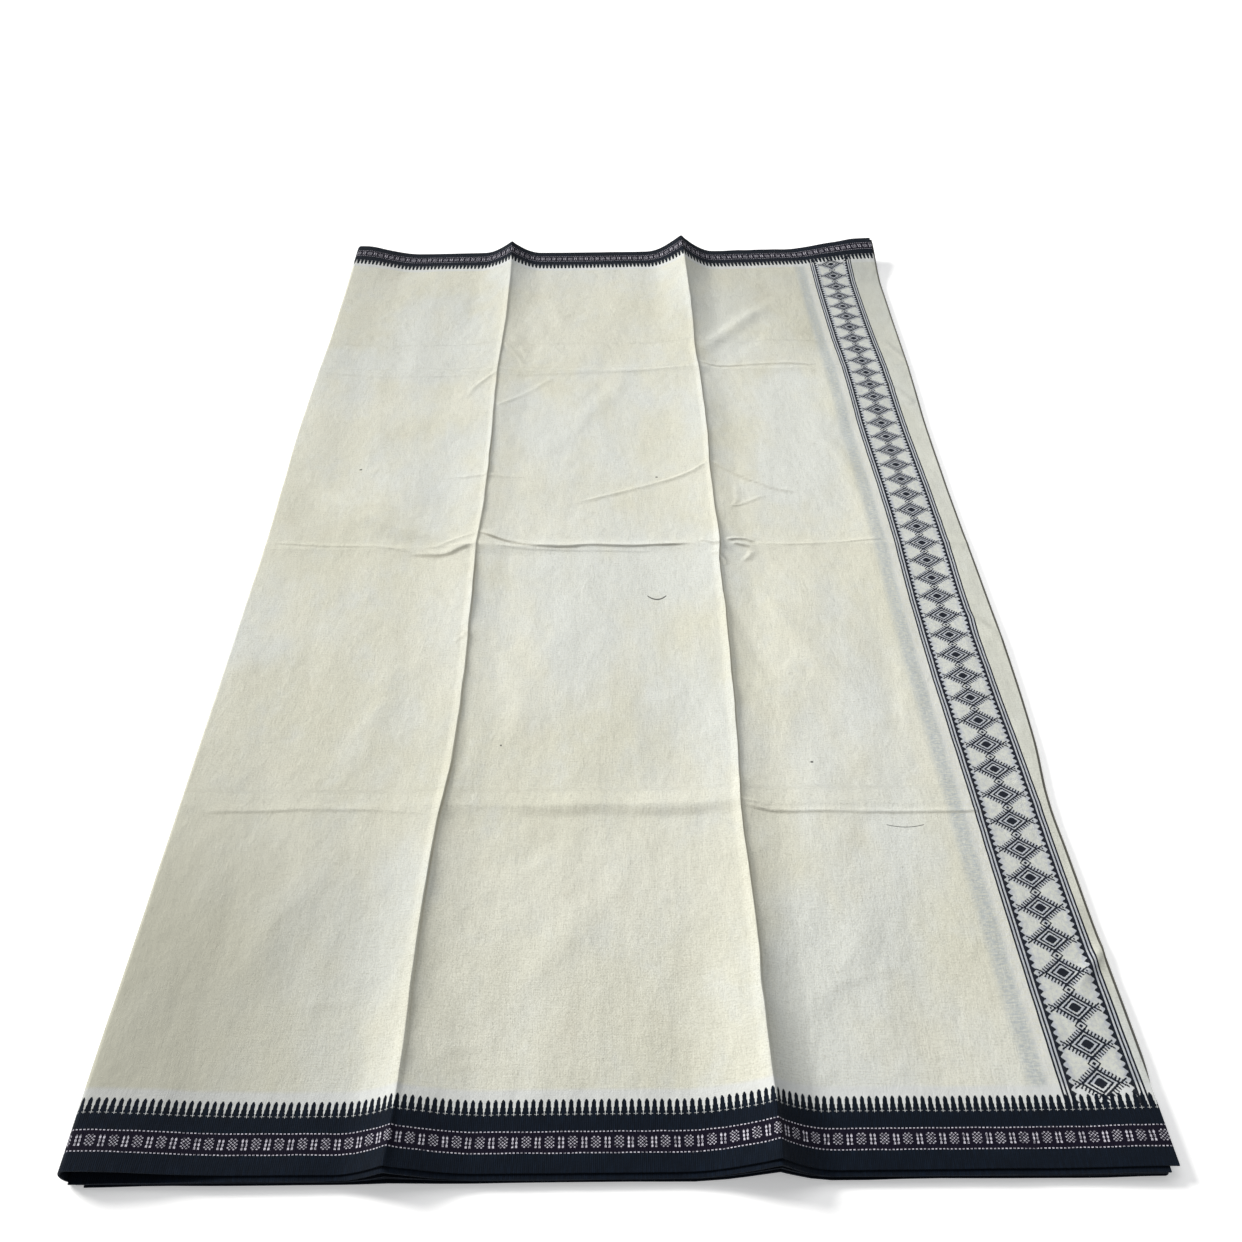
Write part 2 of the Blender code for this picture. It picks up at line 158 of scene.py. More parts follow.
# depth, height, half width, centre, reach
CREASES = (
    (0.2285, 0.0013, 0.018, 0.000, 0.24),
    (0.4885, 0.0024, 0.014, -0.060, 0.20),
    (0.7530, 0.0014, 0.014, 0.060, 0.30))

# x, depth, half x, half depth, height
SWELLS = (
    (-0.240, 0.545, 0.075, 0.060, 0.0042),
    (-0.030, 0.345, 0.090, 0.120, 0.0026),
    (0.020, 0.860, 0.080, 0.100, 0.0030),
    (0.200, 0.815, 0.070, 0.080, 0.0028),
    (0.190, 0.380, 0.070, 0.110, 0.0022),
    (-0.260, 0.180, 0.080, 0.100, 0.0024))

# depth, height, reach
LOFTS = measured(
    (0.00, 11, 115),
    (0.06, 9.2, 112),
    (0.16, 6.2, 105),
    (0.28, 3.6, 90),
    (0.42, 2, 70),
    (0.70, 2.2, 60),
    (0.88, 5, 70),
    (1.00, 12.5, 85))

# How far each hidden layer stands back at the near hem, right, far hem and left, lowest first
LIPS = (
    (0.0000, 0.0012, 0.0010, 0.0056),
    (0.0012, 0.0004, 0.0002, 0.0020),
    (0.0004, 0.0016, 0.0014, 0.0008),
    (0.0014, 0.0006, 0.0004, 0.0010))

# From each share of the depth on, the distance between rows
ROW_STEPS = (
    (0.000, 0.0042), (0.210, 0.0012), (0.240, 0.0042), (0.466, 0.0018), (0.478, 0.0009),
    (0.510, 0.0024), (0.535, 0.0016), (0.606, 0.0042), (0.685, 0.0023), (0.738, 0.0015),
    (0.770, 0.0023), (0.812, 0.0042))

# Sharp tucks of the top stretch, in thousandths: line of x and depth, height, far foot, near foot
TUCKS = (
    # middle crease
    (((-143, 507), (-128, 502), (-107, 495), (-80, 489), (-49, 487), (-32, 489), (-1, 488), (39, 489),
      (85, 490)), 1.7, 8, 1.9),
    (((-142, 492), (-118, 490), (-102, 487), (-45, 483), (43, 482)), 0.5, 4, 2),
    (((-215, 482), (-198, 481), (-172, 480), (-158, 486), (-143, 490)), 1.6, 10, 4.8),
    (((-183, 488), (-165, 498), (-142, 506)), 0.7, 3, 5),
    (((118, 490), (135, 487), (137, 481), (127, 468)), 2.4, 6, 3.4),
    (((85, 494), (97, 489), (105, 485)), 1.6, 4, 3.4),
    (((112, 493), (122, 496), (133, 496), (140, 492)), 1.4, 4, 3.4),
    (((96, 478), (104, 471), (110, 462)), 1.1, 4, 3.4),
    (((140, 491), (186, 489), (238, 492), (279, 495)), 0.6, 4, 2),
    (((-352, 496), (-292, 493), (-246, 491), (-199, 483)), 0.6, 5, 2.5),
    # near crease
    (((-150, 216), (-146, 220), (-143, 224), (-133, 231), (-119, 233), (-91, 234), (-77, 230), (-47, 228),
      (-15, 229), (42, 227), (83, 228), (104, 227)), 1.3, 24, 12),
    (((98, 226), (123, 223), (172, 222), (228, 221), (309, 222)), 0.9, 5, 1.9),
    (((98, 230), (120, 227), (139, 222)), 0.6, 3, 1.9),
    (((-339, 224), (-259, 226), (-193, 226), (-147, 219)), 0.6, 7, 3),
    # far crease
    (((98, 763), (128, 759), (177, 762), (226, 761), (250, 755)), 1, 6, 2.4),
    (((-347, 750), (-261, 745), (-165, 747)), 0.4, 5, 3),
    (((-144, 745), (-67, 748), (5, 750), (91, 754)), 0.4, 5, 3),
    # curved lines through the right ridge
    (((101, 599), (81, 586), (37, 571), (-17, 554), (-44, 546)), 1, 6, 2.8),
    (((104, 599), (135, 581), (165, 565), (196, 557)), 1.1, 6, 2.8),
    (((128, 567), (128, 547), (123, 539), (136, 543), (158, 554)), 0.7, 4, 2.6),
    # nicks beside the ridges
    (((-139, 801), (-118, 773), (-110, 754)), 1, 5, 4.5),
    (((-118, 798), (-106, 776), (-96, 756)), 0.8, 5, 4),
    (((-145, 747), (-171, 721), (-176, 706)), 0.9, 6, 5),
    (((-140, 690), (-111, 710), (-70, 745)), 0.8, 5, 4.5),
    (((-191, 583), (-144, 582), (-96, 583)), 0.6, 5, 3),
    (((-151, 379), (-142, 386), (-132, 388)), 0.7, 4, 3),
    (((-226, 90), (-205, 92), (-184, 93)), 0.5, 5, 3),
    (((-123, 64), (-103, 66), (-82, 65)), 0.5, 5, 3),
    (((-117, 54), (-95, 56), (-68, 54)), 0.4, 5, 3),
    (((151, 98), (173, 104), (203, 110)), 0.5, 5, 3),
    # across the margin
    (((332, 803), (345, 786), (358, 762)), 1.5, 8, 4.2),
    (((324, 727), (336, 709), (350, 690)), 1.3, 7, 4.2))

# Soft folds and troughs of the upper layers, in thousandths: line of x and depth, height, half width
WRINKLES = (
    (((101, 780), (132, 811), (167, 845), (211, 885)), 3, 15),
    (((108, 738), (148, 783), (190, 820)), -1.4, 11),
    (((-330, 575), (-270, 532), (-210, 506), (-155, 490)), 3.6, 18),
    (((-300, 588), (-250, 556), (-205, 532), (-146, 505)), -4.2, 18),
    (((243, 418), (244, 334), (237, 261)), -1.2, 10),
    (((140, 442), (170, 376), (207, 325)), 1.6, 16),
    (((109, 420), (131, 366), (161, 316)), -1.2, 12),
    (((-140, 329), (-129, 291), (-135, 248)), -1.3, 8),
    (((-109, 379), (-86, 319), (-99, 265)), 1.2, 14),
    (((-202, 380), (-210, 320), (-226, 266)), 1.2, 16),
    (((1, 169), (-43, 128), (-84, 85)), 1.2, 20),
    (((-225, 186), (-254, 144), (-276, 92)), 1.3, 20),
    (((-150, 208), (-92, 185), (-46, 207)), -1.4, 12),
    (((201, 167), (168, 113), (126, 77)), 1.1, 16),
    (((-63, 633), (-18, 697), (30, 748)), 1, 16),
    (((-93, 886), (-70, 805), (-19, 767)), -0.8, 12),
    (((-275, 911), (-246, 808), (-254, 700)), 0.9, 14),
    (((211, 660), (249, 613), (257, 542)), 1.2, 12),
    (((146, 491), (211, 453), (252, 465)), -0.8, 10),
    (((-60, 300), (10, 180), (40, 120)), 0.9, 30),
    (((-300, 300), (-240, 200), (-200, 130)), 0.9, 26),
    (((326, 96), (344, 112), (362, 128)), 2.2, 6),
    (((322, 412), (341, 395), (362, 372)), 2, 8))

# Soft bumps of pressed cloth: height, cell, seed, then how the cells lean, turn and are squeezed
ROLLS = (
    (0.00110, 0.095, 3, 0.35, -0.20, 0.80),
    (0.00085, 0.042, 5, -0.15, 0.20, 0.45),
    (0.00042, 0.021, 7, 0.20, 0.0, 0.45),
    (0.00016, 0.012, 8, -0.10, 0.0, 0.60))
DEEPEST = 0.0006           # the relief that the layers share sinks no lower than this


def smooth(t):
    """Ease from 0 to 1 with level ends."""
    t = np.clip(t, 0.0, 1.0)
    return t * t * (3.0 - 2.0 * t)


def along(table, depth):
    """Columns of a table read at shares of the depth, on a curve through its rows."""
    depth = np.clip(np.asarray(depth, float), 0.0, 1.0)
    k = np.clip(np.searchsorted(table[:, 0], depth) - 1, 0, len(table) - 2)
    a, b = table[k], table[k + 1]
    before, after = table[np.maximum(k - 1, 0)], table[np.minimum(k + 2, len(table) - 1)]
    span = (b - a)[..., :1]
    slope_a = (b - before) / (b - before)[..., :1]
    slope_b = (after - a) / (after - a)[..., :1]
    t = (depth - a[..., 0])[..., None] / span
    row = ((2 * t**3 - 3 * t**2 + 1) * a + (t**3 - 2 * t**2 + t) * span * slope_a
           + (3 * t**2 - 2 * t**3) * b + (t**3 - t**2) * span * slope_b)
    return np.moveaxis(row, -1, 0)


def rolling(x, y, cell, seed):
    """Soft uneven relief from -1 to 1 with bumps about one cell apart."""
    numbers = np.random.default_rng(seed).uniform(-1.0, 1.0, (64, 64))
    gx, gy = x / cell + 20.0, y / cell + 20.0
    i, j = np.floor(gx).astype(int), np.floor(gy).astype(int)
    fx, fy = gx - i, gy - j
    fx, fy = fx**3 * (fx * (6 * fx - 15) + 10), fy**3 * (fy * (6 * fy - 15) + 10)

    def at(a, b):
        return numbers[(i + a) % 64, (j + b) % 64]
    return ((at(0, 0) * (1 - fx) + at(1, 0) * fx) * (1 - fy)
            + (at(0, 1) * (1 - fx) + at(1, 1) * fx) * fy)


def ridge_height(table, x, depth):
    """Height of one pressed ridge over the flat stack."""
    _, crest, height, left_foot, right_foot = along(table, depth)
    off = x - crest
    foot = np.where(off < 0, left_foot, right_foot)
    away = np.hypot(off, CREST_ROUND) - CREST_ROUND
    return height * np.maximum(1.0 - away / foot, 0.0) ** RIDGE_POWER


def pinch_height(x, depth):
    """The sharp pressed line on both ridges, steep on its right."""
    _, height, left_foot, right_foot = along(PINCHES, depth)
    total = np.zeros_like(x)
    for table, seed in ((LEFT_RIDGE, 21), (RIGHT_RIDGE, 22)):
        y = depth * LOOM_WIDTH
        wander = 0.0004 * rolling(depth * 0 + 0.5, y, 0.021, seed + 4)
        off = x - along(table, depth)[1] - wander
        foot = np.where(off < 0, left_foot, right_foot)
        uneven = (1.0 + 0.30 * rolling(depth * 0 + 0.5, y, 0.070, seed)
                  + 0.15 * rolling(depth * 0 + 0.5, y, 0.018, seed + 2))
        away = np.hypot(off, 0.0004) - 0.0004
        total += height * uneven * np.maximum(1.0 - away / foot, 0.0) ** 1.5
    return total


def stack_lift(x, depth):
    """How far every layer lies above its flat height."""
    total = np.maximum(ridge_height(LEFT_RIDGE, x, depth), ridge_height(RIGHT_RIDGE, x, depth))
    for place, height, half_width, centre, reach in CREASES:
        away = np.abs(depth - place) * LOOM_WIDTH / half_width
        fade = 1.0 - smooth(np.abs(x - centre) / reach)
        total += height * np.maximum(1.0 - away, 0.0) ** RIDGE_POWER * (0.35 + 0.65 * fade)
    for at_x, at_depth, half_x, half_depth, height in SWELLS:
        away = np.hypot((x - at_x) / half_x, (depth - at_depth) / half_depth)
        total += height * (1.0 - smooth(away))
    corner = (smooth((x - SIDE + CORNER_WIDE) / CORNER_WIDE)
              * smooth((depth - 1.0 + CORNER_DEEP) / CORNER_DEEP))
    return total + CORNER_LIFT * corner


def hollow_lift(x, depth):
    """How far the underside rises under a ridge or corner at a hem."""
    hem = np.minimum(depth, 1.0 - depth)
    share = smooth((x - ARCH_FROM) / ARCH_FADE) * np.where(depth < 0.5, ARCH_NEAR, 1.0)
    return np.maximum(stack_lift(x, depth) * share * (1.0 - smooth(hem / ARCH_DEEP)) - ARCH_EASE, 0.0)


def loft_height(x, depth):
    """How far the top stretch alone stands off the others near the left fold."""
    _, height, reach = along(LOFTS, depth)
    return height * (1.0 - smooth((x + SIDE) / reach))


def beside(line, x, y, reach):
    """Points near a line: which they are, how far off, whether beyond it, and how far along."""
    corners = np.array(line) / 1000.0 * (1.0, LOOM_WIDTH)
    steps = np.linalg.norm(np.diff(corners, axis=0), axis=1)
    shares = np.append(0.0, np.cumsum(steps)) / steps.sum()
    table = np.column_stack([shares, corners])
    corners = np.stack(along(table, np.linspace(0, 1, 4 * len(steps) + 1))[1:], axis=1)
    low, high = corners.min(axis=0) - reach, corners.max(axis=0) + reach
    chosen = np.nonzero((x > low[0]) & (x < high[0]) & (y > low[1]) & (y < high[1]))
    px, py = x[chosen], y[chosen]
    spans = np.linalg.norm(np.diff(corners, axis=0), axis=1)
    nearest, side, place, passed = np.full_like(px, 9.0), np.zeros_like(px), np.zeros_like(px), 0.0
    for start, step, span in zip(corners, np.diff(corners, axis=0), spans):
        t = np.clip(((px - start[0]) * step[0] + (py - start[1]) * step[1]) / span**2, 0, 1)
        off_x, off_y = px - start[0] - t * step[0], py - start[1] - t * step[1]
        away = np.hypot(off_x, off_y)
        closer = away < nearest
        side = np.where(closer, step[0] * off_y - step[1] * off_x, side)
        place = np.where(closer, (passed + t * span) / spans.sum(), place)
        nearest = np.minimum(nearest, away)
        passed += span
    return chosen, nearest, side > 0, place


def tuck_height(x, depth):
    """Height of the sharp tucks of the top stretch."""
    total = np.zeros_like(x)
    y = depth * LOOM_WIDTH
    for number, (line, *sizes) in enumerate(TUCKS):
        height, far_foot, near_foot = np.array(sizes) / 1000.0
        chosen, away, beyond, place = beside(line, x, y, max(far_foot, near_foot))
        start = 0.10 if far_foot < SOFT_FOOT else 0.60   # a rounded tuck fades in over more of it
        ends = smooth(place / start + 0.20) * smooth((1.0 - place) / 0.18 + 0.10)
        uneven = 1.0 + 0.35 * rolling(x[chosen], y[chosen] * 0 + 0.3, 0.031, 60 + number)
        away = np.hypot(away, 0.0003) - 0.0003
        foot = np.where(beyond, far_foot, near_foot)
        share = np.maximum(1.0 - away / foot, 0.0)
        total[chosen] += height * ends * uneven * np.where(foot > SOFT_FOOT, smooth(share), share**1.5)
    return total


def wrinkle_height(x, depth):
    """Height of the soft folds and troughs."""
    total = np.zeros_like(x)
    for line, *sizes in WRINKLES:
        height, half_width = np.array(sizes) / 1000.0
        chosen, away, _, place = beside(line, x, depth * LOOM_WIDTH, 2.5 * half_width)
        ends = smooth(place / 0.35) * smooth((1.0 - place) / 0.35) * 0.85 + 0.15
        total[chosen] += height * ends * np.exp(-(away / half_width) ** 2 * 2.0)
    return total


def relief(x, depth):
    """Soft relief of cloth that has been pressed, opened and laid down, shared by all layers."""
    y = depth * LOOM_WIDTH
    total = wrinkle_height(x, depth)
    for height, cell, seed, lean, turn, squeeze in ROLLS:
        total = total + height * rolling(x + lean * y, turn * x + squeeze * y, cell, seed)
    deepest = DEEPEST + 0.6 * stack_lift(x, depth)
    return np.where(total < 0, deepest * np.tanh(total / deepest), total)


def crevice(x, depth):
    """Where the pressed lines and tucks leave a narrow valley, from 0 to 1, which is painted dark as
    shade.
    """
    def sharp(dx, dy):
        at_depth = depth + dy / LOOM_WIDTH
        return pinch_height(x + dx, at_depth) + tuck_height(x + dx, at_depth)
    step = CREVICE_STEP
    far, near = sharp(0, step), sharp(0, -step)
    bend = sharp(step, 0) + sharp(-step, 0) + far + near - 4 * sharp(0, 0)
    slope = (far - near) / (2 * step)
    return np.maximum(smooth(bend / CREVICE_BEND), 0.55 * smooth(slope / CREVICE_SLOPE))


def laid_y(depth):
    """Y of the rows, with the near hem bellied out."""
    return (depth - 0.5) * LOOM_WIDTH + SLIP / 2 - HEM_OUT * (1.0 - smooth(depth / HEM_OUT_TAPER))


def fold_start(depth):
    """X where the flat part meets the left fold's round, and that round's height."""
    height = STACK + loft_height(np.full_like(depth, -SIDE), depth)
    return along(OUTLINES, depth)[1] + FOLD_BULGE * height / 2, height


def eased(count, power):
    """Shares from 0 to 1, closer together near 1 for a power above 1."""
    return 1.0 - (1.0 - np.arange(1, count + 1) / count) ** power


def columns(depth, finer):
    """X of the columns from the left fold to the cut end, rows by columns, and the band's."""
    start = fold_start(depth)[0]
    left, right = along(LEFT_RIDGE, depth)[1], along(RIGHT_RIDGE, depth)[1]
    _, _, band_left, band_right, end = along(OUTLINES, depth)
    # where a run of columns ends, how many there are, how they close up
    stations = (
        (left - 0.034, 32, 1.0), (left, 22, 1.7), (left + 0.0024, 8, 1.0), (left + 0.010, 8, 0.8),
        (left + 0.034, 10, 0.9), (right - 0.034, 36, 1.0), (right, 22, 1.7), (right + 0.0024, 8, 1.0),
        (right + 0.010, 8, 0.8), (right + 0.034, 10, 0.9), (band_left, 28, 1.0), (band_right, 24, 1.0),
        (end, 10, 1.3))
    places, now = [start], start
    marks = []
    for goal, count, power in stations:
        for share in eased(max(int(count * finer), 2), power):
            places.append(now + (goal - now) * share)
        now = goal
        marks.append(len(places) - 1)
    return np.stack(places, axis=1), marks[-3], marks[-2]


def row_depths(finer):
    """Shares of the depth of all rows, near to far, and the rows where the borders end."""
    hem = np.sort(np.append(BORDER * eased(int(20 * finer), 0.8), 0.0))
    middle = [BORDER]
    while middle[-1] < LOOM_WIDTH - BORDER:
        step = [step for start, step in ROW_STEPS if start * LOOM_WIDTH <= middle[-1]][-1]
        middle.append(middle[-1] + step / finer)
    middle = np.array(middle)
    middle = BORDER + (middle - BORDER) * (LOOM_WIDTH - 2 * BORDER) / (middle[-1] - BORDER)
    rows = np.concatenate([hem, middle[1:-1], LOOM_WIDTH - hem[::-1]])
    return rows / LOOM_WIDTH, len(hem) - 1, len(rows) - len(hem)


def normals(points):
    """Outward direction at each point of a grid whose rows run to +Y."""
    facing = np.cross(np.gradient(points, axis=1), np.gradient(points, axis=0))
    return facing / np.linalg.norm(facing, axis=2, keepdims=True)


def arc(points):
    """Distance along each row of a grid, from the middle of the cloth."""
    steps = np.linalg.norm(np.diff(points, axis=1), axis=2)
    far = np.concatenate([np.zeros((len(points), 1)), np.cumsum(steps, axis=1)], axis=1)
    middle = np.abs(points[:, :, 0] - MAP_MIDDLE).argmin(axis=1)
    return far - far[np.arange(len(points)), middle][:, None]


def band_place(x, depth):
    """Distance to the middle line of the end band, as if the band had one width all along."""
    _, _, left, right, _ = along(OUTLINES, depth)
    return x - (left + right) / 2


# Meshes

STRIP_GAP = 0.003          # between the strips of a long piece's map, in metres of cloth
LINING_SHARE = 0.15        # how much of its width the unseen inner skin keeps in that map


def placed(name, data):
    """A new object in the scene."""
    thing = bpy.data.objects.new(name, data)
    bpy.context.scene.collection.objects.link(thing)
    return thing


def picks(count):
    """Every third place of a row of points, with its last."""
    chosen = list(range(0, count, 3))
    return chosen if chosen[-1] == count - 1 else chosen + [count - 1]


def strip_map(plan, parts, edges, count):
    """Places of all face corners with a long piece cut into strips that lie side by side."""
    plan = plan - plan.min(axis=0)
    size = plan.max(axis=0)
    long, short = (0, 1) if size[0] > size[1] else (1, 0)
    length, pitch = size[long] / count, size[short] + STRIP_GAP
    skin, lining = parts
    out = []
    number = np.clip(plan[skin, long].mean(axis=1) // length, 0, count - 1)[:, None]
    out.append(np.stack([plan[skin, long] - number * length, plan[skin, short] + number * pitch], 2))
    base = count * pitch
    out.append(np.stack([plan[lining, long] / count, base + plan[lining, short] * LINING_SHARE], 2))
    base += size[short] * LINING_SHARE + STRIP_GAP
    for number, (rim, axis, inner) in enumerate(edges):
        run = plan[rim, axis] * length / size[axis]
        out.append(np.stack([run, base + number * 2 * STRIP_GAP + inner * STRIP_GAP], 2))
    flat = np.concatenate([part.reshape(-1, 2) for part in out])
    flat -= flat.min(axis=0)
    return flat / flat.max()


def shell(name, outer, facing, wall, maps, coarse=True, inward=None, marks=None, strips=0):
    """A closed thin piece: an outer skin, an inner one on fewer points, and its rim."""
    inward = facing if inward is None else inward
    rows, cols = outer.shape[:2]
    ri = picks(rows) if coarse else list(range(rows))
    ci = picks(cols) if coarse else list(range(cols))
    inner = (outer - inward * wall)[np.ix_(ri, ci)]
    points = np.vstack([outer.reshape(-1, 3), inner.reshape(-1, 3)])
    grid = np.arange(rows * cols).reshape(rows, cols)
    under = np.arange(len(ri) * len(ci)).reshape(len(ri), len(ci)) + rows * cols

    def quads(g):
        return np.stack([g[:-1, :-1], g[:-1, 1:], g[1:, 1:], g[1:, :-1]], -1).reshape(-1, 4)
    skin, lining = quads(grid), quads(under)[:, ::-1]
    edges = []
    sides = (
        (grid[0], under[0], ci, 0, False),
        (grid[-1], under[-1], ci, 0, True),
        (grid[:, 0], under[:, 0], ri, 1, True),
        (grid[:, -1], under[:, -1], ri, 1, False))
    for edge, low, chosen, axis, turned in sides:
        fans = []
        for k in range(len(chosen) - 1):
            a, b = chosen[k], chosen[k + 1]
            fans += [(edge[m], low[k], edge[m + 1]) for m in range(a, b)]
            fans.append((edge[b], low[k], low[k + 1]))
        fans = np.array(fans)[:, ::-1 if turned else 1]
        edges.append((fans, axis, fans >= rows * cols))
    rim = np.vstack([fans for fans, _, _ in edges])
    corner = points[rim]
    side_normals = np.cross(corner[:, 1] - corner[:, 0], corner[:, 2] - corner[:, 0])
    side_normals /= np.maximum(np.linalg.norm(side_normals, axis=1, keepdims=True), 1e-12)
    mesh = bpy.data.meshes.new(name)
    faces = [tuple(face) for part in (skin, lining, rim) for face in part.tolist()]
    mesh.from_pydata((points - (CENTRED, 0, 0)).tolist(), [], faces)
    mesh.polygons.foreach_set("use_smooth", [True] * len(faces))
    smooth_normals = np.vstack([facing.reshape(-1, 3), -facing[np.ix_(ri, ci)].reshape(-1, 3)])
    loops = np.empty(len(mesh.loops), int)
    mesh.loops.foreach_get("vertex_index", loops)
    split = smooth_normals[loops]
    first_rim = 4 * (len(skin) + len(lining))
    split[first_rim:] = np.repeat(side_normals, 3, axis=0)
    for map_name, values in maps.items():
        flat = values.reshape(-1, 2)
        low = values[np.ix_(ri, ci)].reshape(-1, 2)
        layer = mesh.uv_layers.new(name=map_name)
        layer.data.foreach_set("uv", np.vstack([flat, low])[loops].ravel())
    if strips:
        plan = np.vstack([maps["Cloth"].reshape(-1, 2), maps["Cloth"][np.ix_(ri, ci)].reshape(-1, 2)])
        layer = mesh.uv_layers.new(name="OFBake")
        layer.data.foreach_set("uv", strip_map(plan, (skin, lining), edges, strips).ravel())
    mesh.normals_split_custom_set(split.tolist())
    # the mask of painted shade goes on the points as an attribute
    if marks is not None:
        values = np.concatenate([marks.ravel(), np.zeros(len(ri) * len(ci))])
        mesh.attributes.new("PaintedShade", "FLOAT", "POINT").data.foreach_set("value", values)
    return placed(name, mesh)


def top_grid(rows):
    """Outer points of the top stretch from under the left fold round to the cut end."""
    places, band_start, band_end = columns(rows, 1.0)
    start, height = fold_start(rows)
    depth = np.broadcast_to(rows[:, None], places.shape)
    pinch, tuck = pinch_height(places, depth), tuck_height(places, depth)
    flat = (STACK + stack_lift(places, depth) + loft_height(places, depth)
            + pinch + tuck + relief(places, depth))
    ys = laid_y(depth)
    turns = np.radians(np.linspace(*FOLD_TURNS))
    round_height = flat[:, 0]
    fold_x = [start + FOLD_LIP, start + FOLD_LIP / 2]
    fold_z = [np.zeros_like(start), np.zeros_like(start)]
    for turn in turns:
        fold_x.append(start + FOLD_BULGE * height / 2 * math.cos(turn))
        fold_z.append(round_height / 2 * (1 + math.sin(turn)))
    folded = np.zeros((len(rows), len(fold_x)))
    x = np.concatenate([np.stack(fold_x, 1), places], axis=1)
    z = np.concatenate([np.stack(fold_z, 1), flat], axis=1)
    y = np.concatenate([np.repeat(ys[:, :1], len(fold_x), axis=1), ys], axis=1)
    pinch, tuck = np.hstack([folded, pinch]), np.hstack([folded, tuck])
    plain = np.stack([x, y, z - pinch - tuck], axis=2)
    points = np.stack([x + LEAN * pinch, y - LEAN * tuck, z], axis=2)
    # painted shade in the narrow valleys, none on the fold
    marks = np.hstack([folded, crevice(places, depth)])
    return points, normals(plain), marks, band_start + len(fold_x), band_end + len(fold_x)


def cloth_maps(points, rows):
    """The distance along the loom and across it, and the place on the end band, in metres."""
    depth = np.broadcast_to(rows[:, None], points.shape[:2])
    across = depth * LOOM_WIDTH
    return {
        "Cloth": np.stack([arc(points), across], axis=2),
        "Band": np.stack([band_place(points[:, :, 0], depth), across], axis=2)}


# Materials


class Num:
    """A number inside a material, so that a pattern can be written as a sum."""

    def __init__(self, tree, socket):
        self.tree, self.socket = tree, socket

    def do(self, operation, *others, clamp=False):
        """One Math node on this number and others."""
        node = self.tree.nodes.new("ShaderNodeMath")
        node.operation, node.use_clamp = operation, clamp
        for place, value in enumerate((self, *others)):
            if isinstance(value, Num):
                self.tree.links.new(value.socket, node.inputs[place])
            else:
                node.inputs[place].default_value = value
        return Num(self.tree, node.outputs[0])

    def __add__(self, other):
        return self.do("ADD", other)

    def __sub__(self, other):
        return self.do("SUBTRACT", other)

    def __mul__(self, other):
        return self.do("MULTIPLY", other)

    def __truediv__(self, other):
        return self.do("DIVIDE", other)

    __radd__, __rmul__ = __add__, __mul__

    def __rsub__(self, other):
        return (self * -1.0) + other

    def __lt__(self, other):
        return self.do("LESS_THAN", other)

    def __gt__(self, other):
        return self.do("GREATER_THAN", other)

    def size(self):
        return self.do("ABSOLUTE")

    def whole(self):
        return self.do("FLOOR")

    def part(self):
        return self.do("FRACT")

    def least(self, other):
        return self.do("MINIMUM", other)

    def most(self, other):
        return self.do("MAXIMUM", other)

    def held(self):
        return self.do("ADD", 0.0, clamp=True)

    def sine(self):
        return self.do("SINE")

    def between(self, low, high):
        """1 between two values and 0 outside them."""
        return (self > low) * (self < high)

    def near(self, value, reach):
        """1 within a reach of a value."""
        return (self - value).size() < reach

    def soft(self, low, high):
        """Eases from 0 at low to 1 at high."""
        node = self.tree.nodes.new("ShaderNodeMapRange")
        node.interpolation_type = "SMOOTHSTEP"
        self.tree.links.new(self.socket, node.inputs["Value"])
        node.inputs["From Min"].default_value = low
        node.inputs["From Max"].default_value = high
        return Num(self.tree, node.outputs["Result"])


class Paint:
    """One material under construction, with the two maps that its patterns read."""

    def __init__(self, name):
        self.material = bpy.data.materials.new(name)
        self.material.use_nodes = True
        self.tree = self.material.node_tree
        self.shader = self.tree.nodes["Principled BSDF"]
        self.maps = {}
        for map_name in ("Cloth", "Band"):
            node = self.tree.nodes.new("ShaderNodeUVMap")
            node.uv_map = map_name
            split = self.tree.nodes.new("ShaderNodeSeparateXYZ")
            self.tree.links.new(node.outputs["UV"], split.inputs[0])
            self.maps[map_name] = node.outputs["UV"], *(
                Num(self.tree, split.outputs[k]) for k in "XY")

    def noise(self, scale, detail=2.0, rough=0.5, stretch=(1.0, 1.0), shift=0.0):
        """Noise over the cloth from 0 to 1, drawn out along either way of the weave."""
        mapping = self.tree.nodes.new("ShaderNodeMapping")
        mapping.inputs["Scale"].default_value = (*stretch, 1.0)
        mapping.inputs["Location"].default_value = (shift, shift * 0.7, shift)
        self.tree.links.new(self.maps["Cloth"][0], mapping.inputs["Vector"])
        node = self.tree.nodes.new("ShaderNodeTexNoise")
        node.inputs["Scale"].default_value = scale
        node.inputs["Detail"].default_value = detail
        node.inputs["Roughness"].default_value = rough
        self.tree.links.new(mapping.outputs[0], node.inputs["Vector"])
        return Num(self.tree, node.outputs["Fac"])

    def mix(self, low, high, share):
        """A colour between two others."""
        node = self.tree.nodes.new("ShaderNodeMix")
        node.data_type = "RGBA"
        for place, value in ((6, low), (7, high)):
            if isinstance(value, tuple):
                node.inputs[place].default_value = (*value, 1.0)
            else:
                self.tree.links.new(value, node.inputs[place])
        if isinstance(share, Num):
            self.tree.links.new(share.socket, node.inputs[0])
        else:
            node.inputs[0].default_value = share
        return node.outputs[2]

    def bump(self, height, distance, strength=1.0, below=None):
        """A bump node, on top of another one if there is one."""
        node = self.tree.nodes.new("ShaderNodeBump")
        node.inputs["Strength"].default_value = strength
        node.inputs["Distance"].default_value = distance
        self.tree.links.new(height.socket, node.inputs["Height"])
        if below is not None:
            self.tree.links.new(below, node.inputs["Normal"])
        return node.outputs["Normal"]


